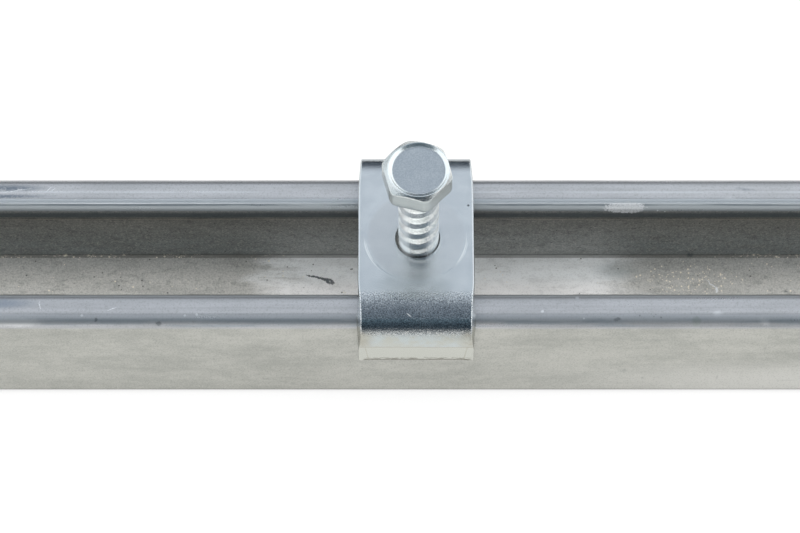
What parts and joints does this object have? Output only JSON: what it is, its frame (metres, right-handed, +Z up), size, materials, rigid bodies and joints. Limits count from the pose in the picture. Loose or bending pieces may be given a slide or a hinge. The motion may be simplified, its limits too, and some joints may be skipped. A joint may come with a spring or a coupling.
{
  "type": "strut channel",
  "caption": "C-section strut channel lying open side up, with inward lips and a slotted back, a bent saddle clamp across the lips and a hex-head screw standing through both.",
  "frame": {"origin": "centre of the channel's underside at mid-length", "axes": "+X along the channel, +Y across it towards the rear wall, +Z up out of its open side"},
  "size_m": [1, 0.0505, 0.0794],
  "materials": {
    "galvanised_steel": "hot-dip galvanised strip, dull",
    "zinc_plated_bar": "zinc plated, bluish",
    "zinc_plated_screw": "zinc plated, bright"
  },
  "bodies": {
    "root": {"strut_channel": "galvanised_steel", "saddle_clamp": "zinc_plated_bar", "hex_head_screw": "zinc_plated_screw"}
  },
  "joints": []
}
